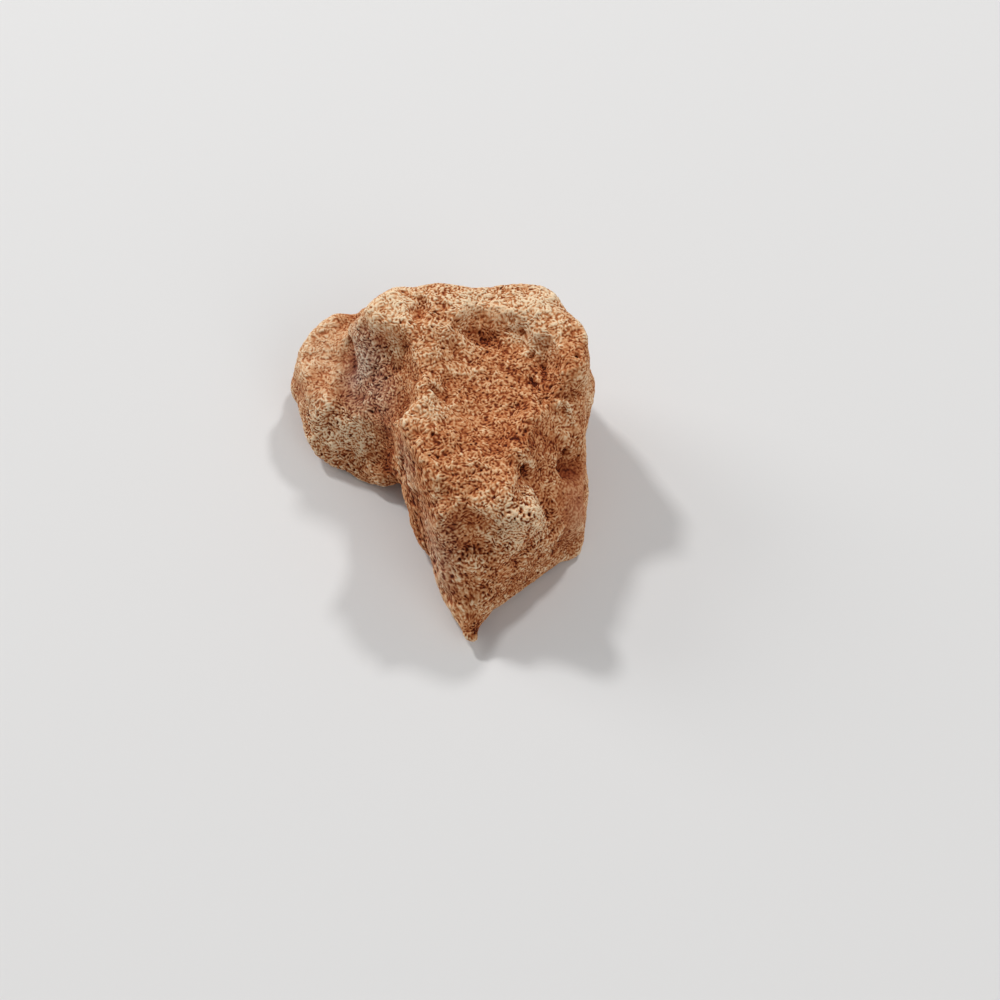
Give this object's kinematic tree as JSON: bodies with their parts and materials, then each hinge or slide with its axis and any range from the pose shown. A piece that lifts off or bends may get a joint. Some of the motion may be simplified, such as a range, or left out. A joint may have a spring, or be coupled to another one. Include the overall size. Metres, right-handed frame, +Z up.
{
  "type": "lunar meteorite",
  "caption": "Small angular fragment of porous, weathered brown rock: a hollowed top, a lower side lobe and a pointed toe, lying on its flat underside.",
  "frame": {"origin": "on the resting plane, under the middle of the stone's box", "axes": "+Z up from the flat underside, +Y from the pointed toe to the back, +X from the side lobe to the steep right side"},
  "size_m": [0.0328, 0.0382, 0.0172],
  "materials": {
    "stone": "matte, porous, weathered orange-brown with cream ridges, dark pits and grey patina"
  },
  "bodies": {
    "root": {"stone": "stone"}
  },
  "joints": []
}
